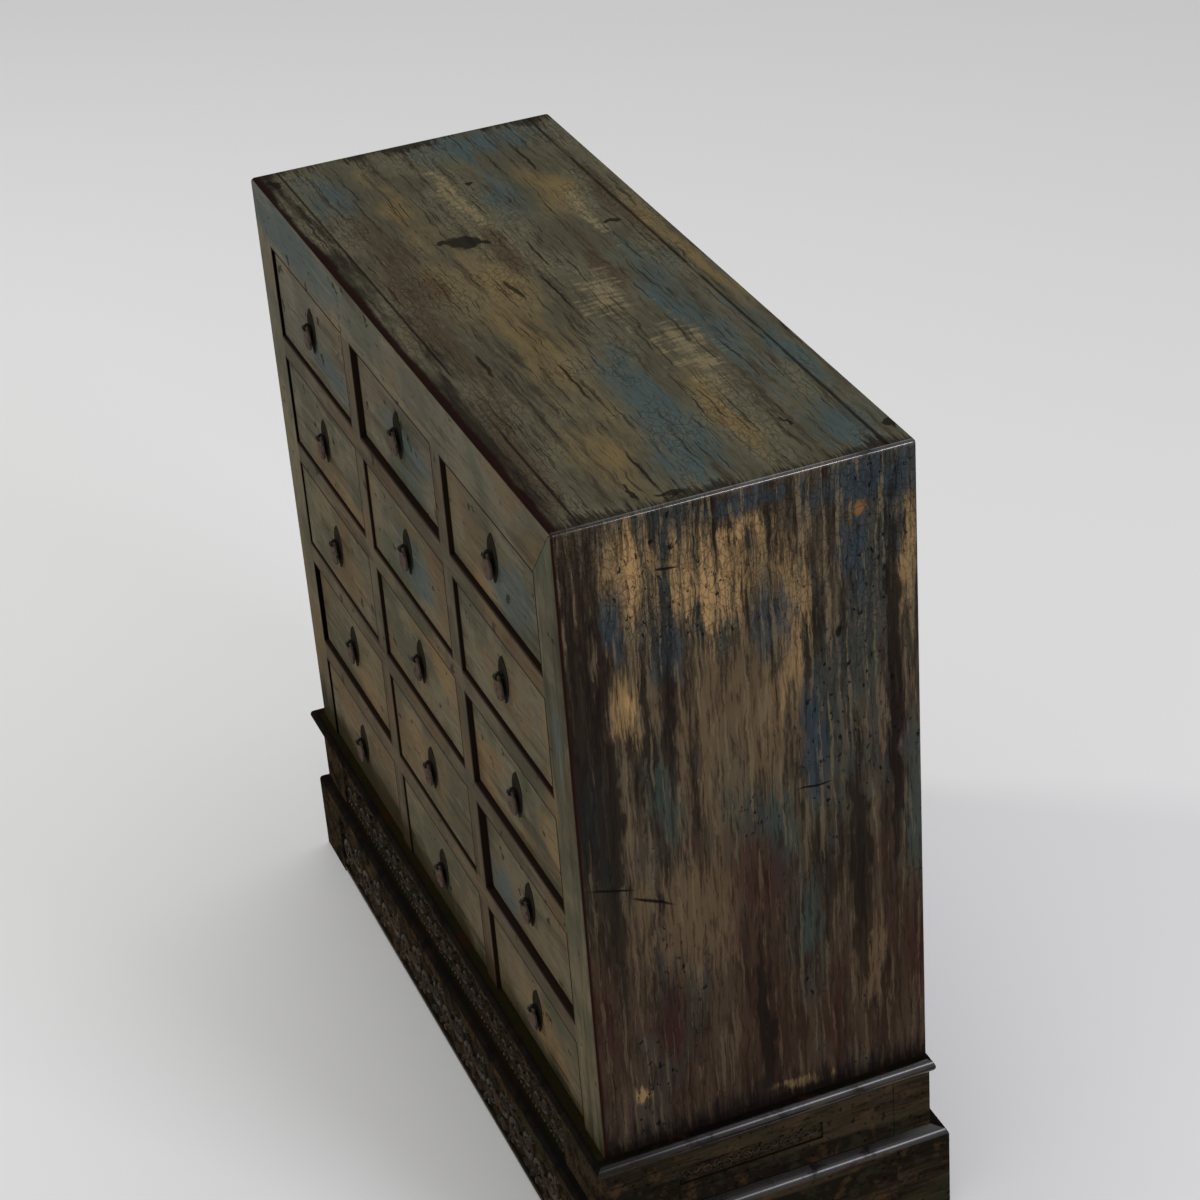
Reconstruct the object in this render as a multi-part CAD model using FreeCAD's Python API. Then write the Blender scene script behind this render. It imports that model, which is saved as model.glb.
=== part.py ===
"""Tabletop spice chest: fifteen drawers behind a mitred face frame, on a waisted stand.

Millimetres. +Z up, the drawers face -Y, the origin is the middle of the stand's footprint.
"""
import FreeCAD, Part
import math
import os
from FreeCAD import Vector

# Drawer grid
rows = 5
columns = 3
opening_width = 163.0
opening_height = 70.6
stile_width = 35.5
upright_width = 20.0
top_rail_height = 43.0
rail_height = 18.0
frame_depth = 20.0

# Carcass
carcass_depth = 235.0
side_thickness = 12.0
top_thickness = 12.0
shelf_thickness = 10.0
divider_setback = 1.0
back_post_depth = 18.0
back_rail_height = 40.0
back_thickness = 8.0
corner_radius = 2.5
top_edge_radius = 3.0

# Drawers
side_gap = 1.0
top_gap = 1.2
bottom_gap = 0.8
running_gap = 0.3
front_thickness = 12.0
front_edge_chamfer = 0.7
drawer_back_gap = 13.0
drawer_side_thickness = 7.0
drawer_side_height = 56.0
drawer_back_height = 46.0
drawer_bottom_thickness = 4.0
drawer_bottom_lift = 4.0
# How far each shut drawer stands behind the face frame, top row first
drawer_recess = (
    (1.8, 4.0, 2.8),
    (1.3, 1.5, 2.1),
    (0.7, 2.1, 3.4),
    (3.1, 1.2, 4.6),
    (0.9, 0.8, 2.4),
)

# Pulls, measured from the axis of the ring
axis_above_middle = 6.5
ring_standoff = 4.4
ring_middle_radius = 2.3
ring_wire_radius = 0.9
plate_above_axis = 14.0
plate_below_axis = 22.0
plate_widest_below_axis = 1.5
plate_width = 16.4
plate_thickness = 0.8
stem_width = 1.8
forged_flats = 8
bar_radius = 1.0
drop_side_gap = 0.5
drop_arm_width = 1.8
drop_arm_length = 3.6
drop_width = 14.0
drop_shoulder_height = 2.4
drop_flare = 0.7
drop_straight = 6.5
drop_tip_height = 5.0
drop_thickness = 1.5

# Stand
ledge_thickness = 10.5
ledge_member_width = 45.0
ledge_overhang_front = 9.0
ledge_overhang_side = 10.0
ledge_overhang_back = 1.5
waist_height = 51.0
waist_thickness = 14.0
waist_overhang_front = 2.5
waist_overhang_side = 1.2
waist_overhang_back = 1.0
waist_board_setback = 0.6
carved_ground_depth = 3.0
left_block_width = 46.0
right_block_width = 75.0
block_depth = 27.0
cartouche_length = 105.0
cartouche_height = 14.5
cartouche_depth = 2.0
cartouche_from_front = 51.0
cartouche_from_foot = 18.5
shoulder_drop = 3.5
shoulder_radius = 6.0
apron_height = 67.0
apron_thickness = 22.0
apron_lift = 2.0
apron_overhang_front = 9.0
apron_overhang_side = 9.0
apron_overhang_back = 11.5
fascia_height = 14.5
fascia_step = 3.0
foot_width = 46.0
foot_depth = 40.0

# Worked out from the sizes above
chest_width = 2 * stile_width + columns * opening_width + (columns - 1) * upright_width
waist_foot = apron_height + shoulder_drop
base_height = waist_foot + waist_height + ledge_thickness
rail_pitch = opening_height + rail_height
grid_height = rows * opening_height + (rows - 1) * rail_height
chest_top = base_height + grid_height + top_rail_height
stand_depth = apron_overhang_front + carcass_depth + apron_overhang_back
half_width = chest_width / 2
front_y = -stand_depth / 2 + apron_overhang_front
back_y = front_y + carcass_depth
inner_front_y = front_y + frame_depth
inner_back_y = back_y - back_post_depth
inner_half_width = half_width - side_thickness
column_pitch = opening_width + upright_width
drawer_length = carcass_depth - back_post_depth - drawer_back_gap


def box(low, high):
    """A box between two corners."""
    size = Vector(*high) - Vector(*low)
    return Part.makeBox(size.x, size.y, size.z, Vector(*low))


def prism(edges, direction):
    """A solid from a closed outline of edges, carried along a vector."""
    return Part.Face(Part.Wire(edges)).extrude(direction)


def outline(points):
    """Straight edges round a list of points."""
    ends = points[1:] + points[:1]
    return [Part.LineSegment(a, b).toShape() for a, b in zip(points, ends)]


def arc(start, middle, end):
    """A circular edge through three points."""
    return Part.Arc(start, middle, end).toShape()


def save(name, solids):
    """Write one sub-part, a single solid or several, to its own STEP file."""
    shape = solids[0] if len(solids) == 1 else Part.makeCompound(solids)
    shape.exportStep(f"parts/{name}.step")


def row_bottom(row):
    """Height of the lower edge of a row's openings; row 1 is the top row."""
    return base_height + (rows - row) * rail_pitch


def column_middle(column):
    """X at the middle of a column; column 1 is on the left."""
    return (column - 1 - (columns - 1) / 2) * column_pitch


def upright_middle(gap):
    """X at the middle of the upright right of a column."""
    return column_middle(gap) + column_pitch / 2


def carcass_envelope():
    """The carcass as one block with its worn, rounded arrises."""
    block = box((-half_width, front_y, base_height), (half_width, back_y, chest_top))
    upright_edges = [e for e in block.Edges if abs(e.tangentAt(e.FirstParameter).z) > 0.9]
    block = block.makeFillet(corner_radius, upright_edges)
    top_face = max(block.Faces, key=lambda face: face.CenterOfMass.z)
    return block.makeFillet(top_edge_radius, top_face.Edges)


def rounded(board, envelope):
    """A board of the carcass with the carcass's outer arrises."""
    return board.common(envelope).Solids[0]


def front_top_rail(envelope):
    """Top member of the face frame, with both ends mitred down to the stiles."""
    low = chest_top - top_rail_height
    outer, inner = half_width, half_width - stile_width
    corners = [(-outer, chest_top), (outer, chest_top), (inner, low), (-inner, low)]
    face = outline([Vector(x, front_y, z) for x, z in corners])
    return rounded(prism(face, Vector(0, frame_depth, 0)), envelope)


def front_stile(side, envelope):
    """Side member of the face frame, standing on the ledge and mitred at its head."""
    outer, inner = side * half_width, side * (half_width - stile_width)
    corners = [(outer, base_height), (outer, chest_top), (inner, chest_top - top_rail_height),
               (inner, base_height)]
    face = outline([Vector(x, front_y, z) for x, z in corners])
    return rounded(prism(face, Vector(0, frame_depth, 0)), envelope)


def front_rails():
    """Rails between the rows, from stile to stile."""
    reach = half_width - stile_width
    levels = [row_bottom(row) for row in range(1, rows)]
    return [box((-reach, front_y, z - rail_height), (reach, inner_front_y, z)) for z in levels]


def front_uprights():
    """Short uprights between the columns, one piece in each row."""
    pieces = []
    for row in range(1, rows + 1):
        low = row_bottom(row)
        for gap in range(1, columns):
            x = upright_middle(gap)
            pieces.append(box((x - upright_width / 2, front_y, low),
                              (x + upright_width / 2, inner_front_y, low + opening_height)))
    return pieces


def drawer_shelves():
    """Dust boards behind the rails, level with the rails' top faces."""
    levels = [row_bottom(row) for row in range(1, rows)]
    return [box((-inner_half_width, inner_front_y, z - shelf_thickness),
                (inner_half_width, inner_back_y, z)) for z in levels]


def bay_top(row):
    """Height of the underside of the board above a row's bays."""
    if row == 1:
        return chest_top - top_thickness
    return row_bottom(row - 1) - shelf_thickness


def drawer_dividers():
    """Partitions between the bays, and the guides that fill out to the sides behind the stiles."""
    half_divider = upright_width / 2 - divider_setback
    guide_face = half_width - stile_width + divider_setback
    pieces = []
    for row in range(1, rows + 1):
        low = row_bottom(row)
        for gap in range(1, columns):
            x = upright_middle(gap)
            pieces.append(box((x - half_divider, inner_front_y, low),
                              (x + half_divider, inner_back_y, bay_top(row))))
        for x in (-inner_half_width, guide_face):
            pieces.append(box((x, inner_front_y, low),
                              (x + inner_half_width - guide_face, inner_back_y,
                               low + drawer_side_height / 2)))
    return pieces


def top_panel():
    """Panel of the top, let in between the side panels, the front rail and the back rail."""
    return box((-inner_half_width, inner_front_y, chest_top - top_thickness),
               (inner_half_width, inner_back_y, chest_top)).common(carcass_envelope()).Solids[0]


def side_panel(side, envelope):
    """Side of the carcass between the front stile and the back post."""
    xs = sorted((side * inner_half_width, side * half_width))
    board = box((xs[0], inner_front_y, base_height), (xs[1], inner_back_y, chest_top))
    return rounded(board, envelope)


def back_frame(envelope):
    """Two back posts and the rail between them at the top."""
    pieces = []
    for side in (-1, 1):
        xs = sorted((side * inner_half_width, side * half_width))
        pieces.append(box((xs[0], inner_back_y, base_height), (xs[1], back_y, chest_top)))
    pieces.append(box((-inner_half_width, inner_back_y, chest_top - back_rail_height),
                      (inner_half_width, back_y, chest_top)))
    return [rounded(piece, envelope) for piece in pieces]


def back_panel():
    """Thin board that closes the back under the back rail."""
    return box((-inner_half_width, inner_back_y, base_height),
               (inner_half_width, inner_back_y + back_thickness, chest_top - back_rail_height))


def mitred(section, length, width):
    """A moulding along +X from 0, of one width, its ends cut at 45 degrees for the corners.

    The section is a list of edges in the YZ plane at X = 0, its outer side towards -Y at Y = 0.
    """
    bar = prism(section, Vector(length, 0, 0))
    corners = [(0, 0), (length, 0), (length - width, width), (width, width)]
    plan = outline([Vector(x, y, 0) for x, y in corners])
    return bar.common(prism(plan, Vector(0, 0, base_height))).Solids[0]


def stand_side(name, overhangs):
    """Outer corner, turn and length of one side of the stand, looking at it from outside."""
    front, side, back = overhangs
    width = chest_width + 2 * side
    depth = front + carcass_depth + back
    starts = {
        "front": (Vector(-half_width - side, front_y - front, 0), 0, width),
        "right": (Vector(half_width + side, front_y - front, 0), 90, depth),
        "back": (Vector(half_width + side, back_y + back, 0), 180, width),
        "left": (Vector(-half_width - side, back_y + back, 0), 270, depth),
    }
    return starts[name]


def placed(solid, corner, turn):
    """Carry a solid built along +X at the origin to its side of the stand."""
    moved = solid.copy()
    moved.rotate(Vector(0, 0, 0), Vector(0, 0, 1), turn)
    moved.translate(corner)
    return moved


def ledge_frame():
    """Four mitred members with a half-round nosing, and the panel let in between them."""
    overhangs = (ledge_overhang_front, ledge_overhang_side, ledge_overhang_back)
    low = base_height - ledge_thickness
    nose = ledge_thickness / 2
    width = ledge_member_width
    section = [
        Part.LineSegment(Vector(0, width, low), Vector(0, nose, low)).toShape(),
        arc(Vector(0, nose, low), Vector(0, 0, low + nose), Vector(0, nose, base_height)),
        Part.LineSegment(Vector(0, nose, base_height), Vector(0, width, base_height)).toShape(),
        Part.LineSegment(Vector(0, width, base_height), Vector(0, width, low)).toShape(),
    ]
    pieces = []
    for name in ("front", "right", "back", "left"):
        corner, turn, length = stand_side(name, overhangs)
        pieces.append(placed(mitred(section, length, width), corner, turn))
    front, side, back = overhangs
    pieces.append(box((-half_width - side + width, front_y - front + width, low),
                      (half_width + side - width, back_y + back - width, base_height)))
    return pieces


def waist():
    """Corner blocks and the boards between them: the front one sunk, the sides with a cartouche."""
    front = front_y - waist_overhang_front
    back = back_y + waist_overhang_back
    side = half_width + waist_overhang_side
    high = waist_foot + waist_height
    inset = waist_board_setback
    pieces = []
    for sign, width in ((-1, left_block_width), (1, right_block_width)):
        xs = sorted((sign * side, sign * (side - width)))
        pieces.append(box((xs[0], front, waist_foot), (xs[1], front + block_depth, high)))
        pieces.append(box((xs[0], back - block_depth, waist_foot), (xs[1], back, high)))
        xs = sorted((sign * (side - inset), sign * (side - inset - waist_thickness)))
        board = box((xs[0], front + block_depth, waist_foot), (xs[1], back - block_depth, high))
        pieces.append(board.cut(cartouche(sign, side - inset)))
    left, right = left_block_width - side, side - right_block_width
    for y in (front + carved_ground_depth, back - inset - waist_thickness):
        pieces.append(box((left, y, waist_foot), (right, y + waist_thickness, high)))
    return pieces


def cartouche(sign, face):
    """The block that sinks the cartouche into the outer face of one side board of the waist."""
    xs = sorted((sign * (face - cartouche_depth), sign * (face + cartouche_depth)))
    start = front_y + cartouche_from_front
    bottom = waist_foot + cartouche_from_foot
    return box((xs[0], start, bottom), (xs[1], start + cartouche_length, bottom + cartouche_height))


def shoulder_section(run, bottom, thickness, step):
    """Outline of the apron in the YZ plane, its face at Y = 0: sloped shoulder, round arris, face.

    The run is how far the shoulder reaches out from the waist. A step sets the face back under
    a plain fascia.
    """
    slope = Vector(0, run, shoulder_drop).normalize()
    corner = Vector(0, 0, apron_height)
    tangent = shoulder_radius * math.tan(math.acos(slope.z) / 2)
    centre = corner + Vector(0, shoulder_radius, -tangent)
    middle = centre + (corner - centre).normalize() * shoulder_radius
    upper, lower = corner + slope * tangent, corner - Vector(0, 0, tangent)
    points = [lower]
    if step > 0:
        points.append(Vector(0, 0, apron_height - fascia_height + step))
        points.append(Vector(0, step, apron_height - fascia_height))
    points += [Vector(0, step, bottom), Vector(0, thickness, bottom),
               Vector(0, thickness, waist_foot), Vector(0, run, waist_foot), upper]
    edges = [Part.LineSegment(a, b).toShape() for a, b in zip(points, points[1:])]
    edges.append(arc(upper, middle, lower))
    return edges


def apron_side(name):
    """Corner, turn and length of one side's aprons, and how far its shoulder reaches out."""
    overhangs = (apron_overhang_front, apron_overhang_side, apron_overhang_back)
    waist_over = {"front": waist_overhang_front, "back": waist_overhang_back}
    apron_over = {"front": apron_overhang_front, "back": apron_overhang_back}
    run = apron_over.get(name, apron_overhang_side) - waist_over.get(name, waist_overhang_side)
    return (*stand_side(name, overhangs), run)


def aprons():
    """Shouldered boards between the feet, their lower edges clear of the floor."""
    pieces = []
    for name in ("front", "right", "back", "left"):
        corner, turn, length, run = apron_side(name)
        foot = foot_width if name in ("front", "back") else foot_depth
        step = fascia_step if name == "front" else 0
        section = shoulder_section(run, apron_lift, apron_thickness, step)
        board = prism(section, Vector(length - 2 * foot, 0, 0))
        board.translate(Vector(foot, 0, 0))
        pieces.append(placed(board, corner, turn))
    return pieces


def feet():
    """Corner feet: the front's and the side's shouldered sections, mitred round the corner."""
    bars = {}
    for name in ("front", "right", "back", "left"):
        corner, turn, length, run = apron_side(name)
        section = shoulder_section(run, 0, foot_width + foot_depth, 0)
        bars[name] = placed(prism(section, Vector(length, 0, 0)), corner, turn)
    pieces = []
    for front_or_back, sign_y in (("front", -1), ("back", 1)):
        for left_or_right, sign_x in (("left", -1), ("right", 1)):
            x = sign_x * (half_width + apron_overhang_side)
            y = sign_y * stand_depth / 2
            xs = sorted((x, x - sign_x * foot_width))
            ys = sorted((y, y - sign_y * foot_depth))
            block = box((xs[0], ys[0], 0), (xs[1], ys[1], waist_foot))
            corner_block = block.common(bars[front_or_back]).common(bars[left_or_right])
            pieces.append(corner_block.Solids[0])
    return pieces


def drawer(row, column):
    """A drawer: lipped front board, two sides, back and bottom."""
    x = column_middle(column)
    low = row_bottom(row)
    face = front_y + drawer_recess[row - 1][column - 1]
    half_front = opening_width / 2 - side_gap
    inside = half_front - drawer_side_thickness
    inner_face = face + front_thickness
    end = face + drawer_length
    board = box((x - half_front, face, low + bottom_gap),
                (x + half_front, inner_face, low + opening_height - top_gap))
    face_edges = [e for e in board.Edges if abs(e.CenterOfMass.y - face) < 1e-6]
    pieces = [board.makeChamfer(front_edge_chamfer, face_edges)]
    side_low = low + running_gap
    for start in (x - half_front, x + inside):
        pieces.append(box((start, inner_face, side_low),
                          (start + drawer_side_thickness, end, side_low + drawer_side_height)))
    bottom = side_low + drawer_bottom_lift
    floor = bottom + drawer_bottom_thickness
    pieces.append(box((x - inside, inner_face, bottom), (x + inside, end, floor)))
    pieces.append(box((x - inside, end - drawer_side_thickness, floor),
                      (x + inside, end, floor + drawer_back_height)))
    return pieces


def pull_axis(row, column):
    """Centre of the ring of one pull, on the pull's hinge axis."""
    recess = drawer_recess[row - 1][column - 1]
    height = row_bottom(row) + opening_height / 2 + axis_above_middle
    return Vector(column_middle(column), front_y + recess - ring_standoff, height)


def pull_plate():
    """Leaf-shaped plate pointed at both ends, built round the axis of its ring."""
    tip = Vector(0, ring_standoff, plate_above_axis)
    foot = Vector(0, ring_standoff, -plate_below_axis)
    edges = []
    for side, start, end in ((1, tip, foot), (-1, foot, tip)):
        wide = Vector(side * plate_width / 2, ring_standoff, -plate_widest_below_axis)
        edges.append(leaf_arc(start, wide, side))
        edges.append(leaf_arc(wide, end, side))
    return prism(edges, Vector(0, -plate_thickness, 0))


def leaf_arc(start, end, side):
    """Arc between a leaf's tip and its widest point, upright at the widest point."""
    wide, tip = (end, start) if abs(end.x) > abs(start.x) else (start, end)
    run = abs(wide.x)
    rise = tip.z - wide.z
    radius = (run * run + rise * rise) / (2 * run)
    half_turn = math.asin(rise / radius) / 2
    centre = wide - Vector(side * radius, 0, 0)
    middle = centre + Vector(side * radius * math.cos(half_turn), 0,
                             radius * math.sin(half_turn))
    return arc(start, middle, end)


def forged_bar(radius, length):
    """A bar along X about the origin, its round section filed to small flats."""
    turn = 2 * math.pi / forged_flats
    corners = [Vector(-length / 2, radius * math.cos(k * turn), radius * math.sin(k * turn))
               for k in range(forged_flats)]
    return prism(outline(corners), Vector(length, 0, 0))


def pull_ring():
    """Ring on a short square stem; its hole runs along X and carries the drop's bar."""
    width = 2 * ring_wire_radius
    eye = forged_bar(ring_middle_radius + ring_wire_radius, width)
    hole = forged_bar(ring_middle_radius - ring_wire_radius, width)
    stem_end = ring_standoff - plate_thickness
    stem = box((-stem_width / 2, ring_middle_radius, -stem_width / 2),
               (stem_width / 2, stem_end, stem_width / 2))
    return eye.cut(hole).fuse(stem).Solids[0]


def pull_drop():
    """Flat tongue with a window at its head; the round bar over the window hangs in the ring."""
    window = ring_wire_radius + drop_side_gap
    arm = window + drop_arm_width
    half = drop_width / 2
    neck = -drop_arm_length / 2
    shoulder = -drop_arm_length - drop_shoulder_height
    straight = shoulder - drop_straight
    y = drop_thickness / 2
    bulge = Vector(half - arm, 0, shoulder - neck).normalize()
    middle = Vector((arm + half) / 2, y, (neck + shoulder) / 2)
    right = [Vector(arm, y, bar_radius), Vector(arm, y, neck),
             middle + Vector(-bulge.z, 0, bulge.x) * drop_flare,
             Vector(half, y, shoulder), Vector(half, y, straight)]
    left = [Vector(-point.x, y, point.z) for point in reversed(right)]
    edges = [Part.LineSegment(a, b).toShape() for a, b in zip(right, right[1:])]
    edges.append(arc(right[-1], Vector(0, y, straight - drop_tip_height), left[0]))
    edges += [Part.LineSegment(a, b).toShape() for a, b in zip(left, left[1:] + right[:1])]
    tongue = prism(edges, Vector(0, -drop_thickness, 0))
    gap = box((-window, -bar_radius, -drop_arm_length), (window, bar_radius, 2 * bar_radius))
    return tongue.cut(gap).fuse(forged_bar(bar_radius, 2 * arm)).Solids[0]


def moved_to(solid, place):
    """A copy of a solid built round the origin, carried to a place."""
    copy = solid.copy()
    copy.translate(place)
    return copy


def build():
    """Make every sub-part and write it out."""
    os.makedirs("parts", exist_ok=True)
    envelope = carcass_envelope()
    save("front_top_rail", [front_top_rail(envelope)])
    save("front_stiles", [front_stile(side, envelope) for side in (-1, 1)])
    save("front_rails", front_rails())
    save("front_uprights", front_uprights())
    save("drawer_shelves", drawer_shelves())
    save("drawer_dividers", drawer_dividers())
    save("top_panel", [top_panel()])
    save("left_side_panel", [side_panel(-1, envelope)])
    save("right_side_panel", [side_panel(1, envelope)])
    save("back_frame", back_frame(envelope))
    save("back_panel", [back_panel()])
    save("stand_ledge", ledge_frame())
    save("stand_waist", waist())
    save("stand_aprons", aprons())
    save("stand_feet", feet())
    plate, ring, drop = pull_plate(), pull_ring(), pull_drop()
    for row in range(1, rows + 1):
        for column in range(1, columns + 1):
            label = f"r{row}c{column}"
            place = pull_axis(row, column)
            save(f"drawer_{label}", drawer(row, column))
            save(f"pull_plate_{label}", [moved_to(plate, place), moved_to(ring, place)])
            save(f"pull_drop_{label}", [moved_to(drop, place)])


build()
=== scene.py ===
"""Looks of the tabletop spice chest: aged painted lacquer, a carved dark stand, wrought pulls.

Metres. +Z up, the drawers face -Y, the origin is the middle of the stand's footprint.
"""
import math
import random

import bpy
from mathutils import Matrix, Vector


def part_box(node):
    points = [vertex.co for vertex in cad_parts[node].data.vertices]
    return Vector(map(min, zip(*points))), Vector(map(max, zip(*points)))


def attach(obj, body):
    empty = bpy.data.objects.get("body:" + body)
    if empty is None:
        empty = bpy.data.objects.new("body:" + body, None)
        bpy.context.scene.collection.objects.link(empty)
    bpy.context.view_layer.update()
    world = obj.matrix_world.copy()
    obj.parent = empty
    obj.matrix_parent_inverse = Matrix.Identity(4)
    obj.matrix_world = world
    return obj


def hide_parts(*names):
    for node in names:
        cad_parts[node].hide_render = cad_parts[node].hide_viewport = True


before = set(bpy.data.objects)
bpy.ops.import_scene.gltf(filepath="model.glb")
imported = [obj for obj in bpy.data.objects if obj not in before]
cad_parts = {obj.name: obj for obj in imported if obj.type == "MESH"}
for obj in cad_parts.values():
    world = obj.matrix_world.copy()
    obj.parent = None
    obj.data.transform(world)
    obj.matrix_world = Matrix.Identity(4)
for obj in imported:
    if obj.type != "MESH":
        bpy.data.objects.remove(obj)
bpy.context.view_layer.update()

# Faces of the chest, read from its own boards
ROWS = range(1, 6)
COLUMNS = range(1, 4)
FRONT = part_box("front_rails")[0].y
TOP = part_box("top_panel")[1].z
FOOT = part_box("front_stiles")[0].z
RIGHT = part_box("back_frame")[1].x
FRAME_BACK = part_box("front_rails")[1].y
POST_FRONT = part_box("back_frame")[0].y
RAIL_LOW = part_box("front_top_rail")[0].z
STILE_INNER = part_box("front_rails")[1].x
ANY = 1000.0    # a size so large that a pattern ignores that direction

# Weight of the clear coat on each part of the chest
FRONT_GLOSS = 0.04
TOP_GLOSS = 0.03
SIDE_GLOSS = 0.06
EDGE_GLOSS = 0.9
STAND_GLOSS = 0.0
BACK_GLOSS = 0.03
CARVED_GLOSS = 0.03
IRON_GLOSS = 0.5
DROP_GLOSS = 0.2


def tone(red, green, blue):
    """A colour written in display values from 0 to 255, as the linear one that a shader takes."""
    linear = [((c / 255 + 0.055) / 1.055) ** 2.4 if c > 10 else c / 255 / 12.92
              for c in (red, green, blue)]
    return (*linear, 1.0)


# Painted shade: the dark of faces inside the drawer openings and of the drawer fronts' edges, seen
# in the gaps
GAP_SHADE = tone(12, 9, 8)

BLACK_GAP = tone(12, 10, 8)
SMOOTH_ANGLE = math.radians(50.0)
ROOM_LIGHT = 0.45          # strength of the white surroundings as light
FRONT_BOARD = 0.0122       # thickness of a drawer's painted front board

# Places of the carving on the stand
WAIST_GROUND = FRONT + 0.0005
WAIST_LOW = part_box("stand_waist")[0].z
WAIST_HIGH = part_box("stand_waist")[1].z
BLOCK_WIDTH = 0.0465       # plain block at each end of a carved board
RIGHT_BLOCK_WIDTH = 0.0755
APRON_GROUND = FRONT - 0.0060
APRON_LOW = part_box("stand_aprons")[0].z
APRON_MIDDLE = 0.0295
APRON_EDGES = (0.010, 0.046)
LIP_HEIGHT = 0.0028
LIP_DEPTH = 0.0030
CARTOUCHE_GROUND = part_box("stand_waist")[1].x - 0.0026
CARTOUCHE_MIDDLE = FRONT + 0.1035
CARTOUCHE_HEIGHT = WAIST_LOW + 0.02575


class Wire:
    """A shader value that can be added, multiplied and so on."""

    def __init__(self, board, socket):
        self.board = board
        self.socket = socket

    def maths(self, operation, first, second):
        return self.board.node("ShaderNodeMath", {"operation": operation}, [first, second])

    def __add__(self, other):
        return self.maths("ADD", self, other)

    __radd__ = __add__

    def __sub__(self, other):
        return self.maths("SUBTRACT", self, other)

    def __rsub__(self, other):
        return self.maths("SUBTRACT", other, self)

    def __mul__(self, other):
        return self.maths("MULTIPLY", self, other)

    __rmul__ = __mul__

    def __or__(self, other):
        return self.maths("MAXIMUM", self, other)

    def __abs__(self):
        return self.maths("ABSOLUTE", self, 0.0)


class Sheet:
    """The nodes of a material or of the world."""

    def __init__(self, owner):
        owner.use_nodes = True
        self.tree = owner.node_tree
        self.tree.nodes.clear()

    def node(self, kind, settings=None, inputs=(), output=0):
        """One node: its settings first, then the values or links of its sockets."""
        made = self.tree.nodes.new(kind)
        for key, value in (settings or {}).items():
            setattr(made, key, value)
        pairs = inputs.items() if isinstance(inputs, dict) else enumerate(inputs)
        for key, value in pairs:
            if isinstance(value, Wire):
                self.tree.links.new(value.socket, made.inputs[key])
            else:
                made.inputs[key].default_value = value
        return Wire(self, made.outputs[output]) if made.outputs else None


class Board(Sheet):
    """The nodes of one material, and the patterns that it is made of."""

    def __init__(self, name):
        self.material = bpy.data.materials.new(name)
        super().__init__(self.material)
        self.place = self.node("ShaderNodeTexCoord", output="Object")
        self.x = self.node("ShaderNodeSeparateXYZ", {}, [self.place], "X")
        self.y = self.node("ShaderNodeSeparateXYZ", {}, [self.place], "Y")
        self.z = self.node("ShaderNodeSeparateXYZ", {}, [self.place], "Z")
        self.facing = self.node("ShaderNodeTexCoord", output="Normal")

    def turned(self, axis):
        """How far the surface faces along an axis, from -1 to 1."""
        return self.node("ShaderNodeSeparateXYZ", {}, [self.facing], axis)

    def noise(self, stretch, detail=4.0, rough=0.55, shift=0.0, warp=0.0, where=None):
        """Cloudy values round a half; stretch gives the waves per metre along each axis."""
        lined = self.node("ShaderNodeMapping", {}, {
            "Vector": where or self.place, "Location": (shift, shift * 0.7, shift * 1.3),
            "Scale": stretch})
        return self.node("ShaderNodeTexNoise", {}, {
            "Vector": lined, "Scale": 1.0, "Detail": detail, "Roughness": rough,
            "Distortion": warp})

    def smooth(self, value, low, high):
        """A soft step from 0 at low to 1 at high."""
        return self.node("ShaderNodeMapRange", {"interpolation_type": "SMOOTHSTEP"},
                         {"Value": value, "From Min": low, "From Max": high})

    def blend(self, under, over, amount):
        """One colour laid over another."""
        return self.node("ShaderNodeMix", {"data_type": "RGBA"},
                         {0: amount, 6: under, 7: over}, 2)

    def wobbled(self, size, waves):
        """The place, pushed about a little so that patches get uneven edges."""
        cloud = self.node("ShaderNodeTexNoise", {}, {
            "Vector": self.place, "Scale": waves, "Detail": 3.0}, "Color")
        centred = self.node("ShaderNodeVectorMath", {"operation": "SUBTRACT"},
                            [cloud, (0.5, 0.5, 0.5)])
        pushed = self.node("ShaderNodeVectorMath", {"operation": "SCALE"},
                           {0: centred, "Scale": size})
        return self.node("ShaderNodeVectorMath", {"operation": "ADD"}, [self.place, pushed])

    def near(self, centre, size, turn=(0.0, 0.0, 0.0), where=None):
        """1 at a centre, falling to 0 at the edge of an oval and below 0 outside it."""
        local = self.node("ShaderNodeMapping", {"vector_type": "TEXTURE"}, {
            "Vector": where or self.place, "Location": centre, "Rotation": turn, "Scale": size})
        length = self.node("ShaderNodeVectorMath", {"operation": "LENGTH"}, [local], "Value")
        return 1.0 - length

    def patches(self, shape, spots, where):
        """The nearest of several ovals, each made by shape from a row of numbers."""
        value = self.near(*shape(*spots[0]), where=where)
        for spot in spots[1:]:
            value = value | self.near(*shape(*spot), where=where)
        return value

    def marks(self, stretch, low, high, shift, where=None):
        """Small separate marks: the peaks of a noise."""
        return self.smooth(self.noise(stretch, 4.0, 0.6, shift, where=where), low, high)

    def crazing(self, stretch, width, where):
        """Fine cracks: the borders between irregular cells."""
        cells = self.node("ShaderNodeMapping", {}, {"Vector": where, "Scale": stretch})
        edge = self.node("ShaderNodeTexVoronoi", {"feature": "DISTANCE_TO_EDGE"}, {
            "Vector": cells, "Scale": 1.0}, "Distance")
        return self.smooth(edge, width, width * 0.4)

    def line(self, value, at, half_width):
        """1 on a line where a coordinate has a value, 0 beyond its width."""
        return self.smooth(abs(value - at), half_width, half_width * 0.35)


class Finish:
    """A surface's colour, roughness and height in millimetres."""

    def __init__(self, colour, rough, height):
        self.colour = colour
        self.rough = rough
        self.height = height


def mixed(board, base, layers):
    """A base colour with (colour, mask) layers over it, one after another."""
    colour = base
    for over, mask in layers:
        colour = board.blend(colour, over, mask)
    return colour


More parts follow.
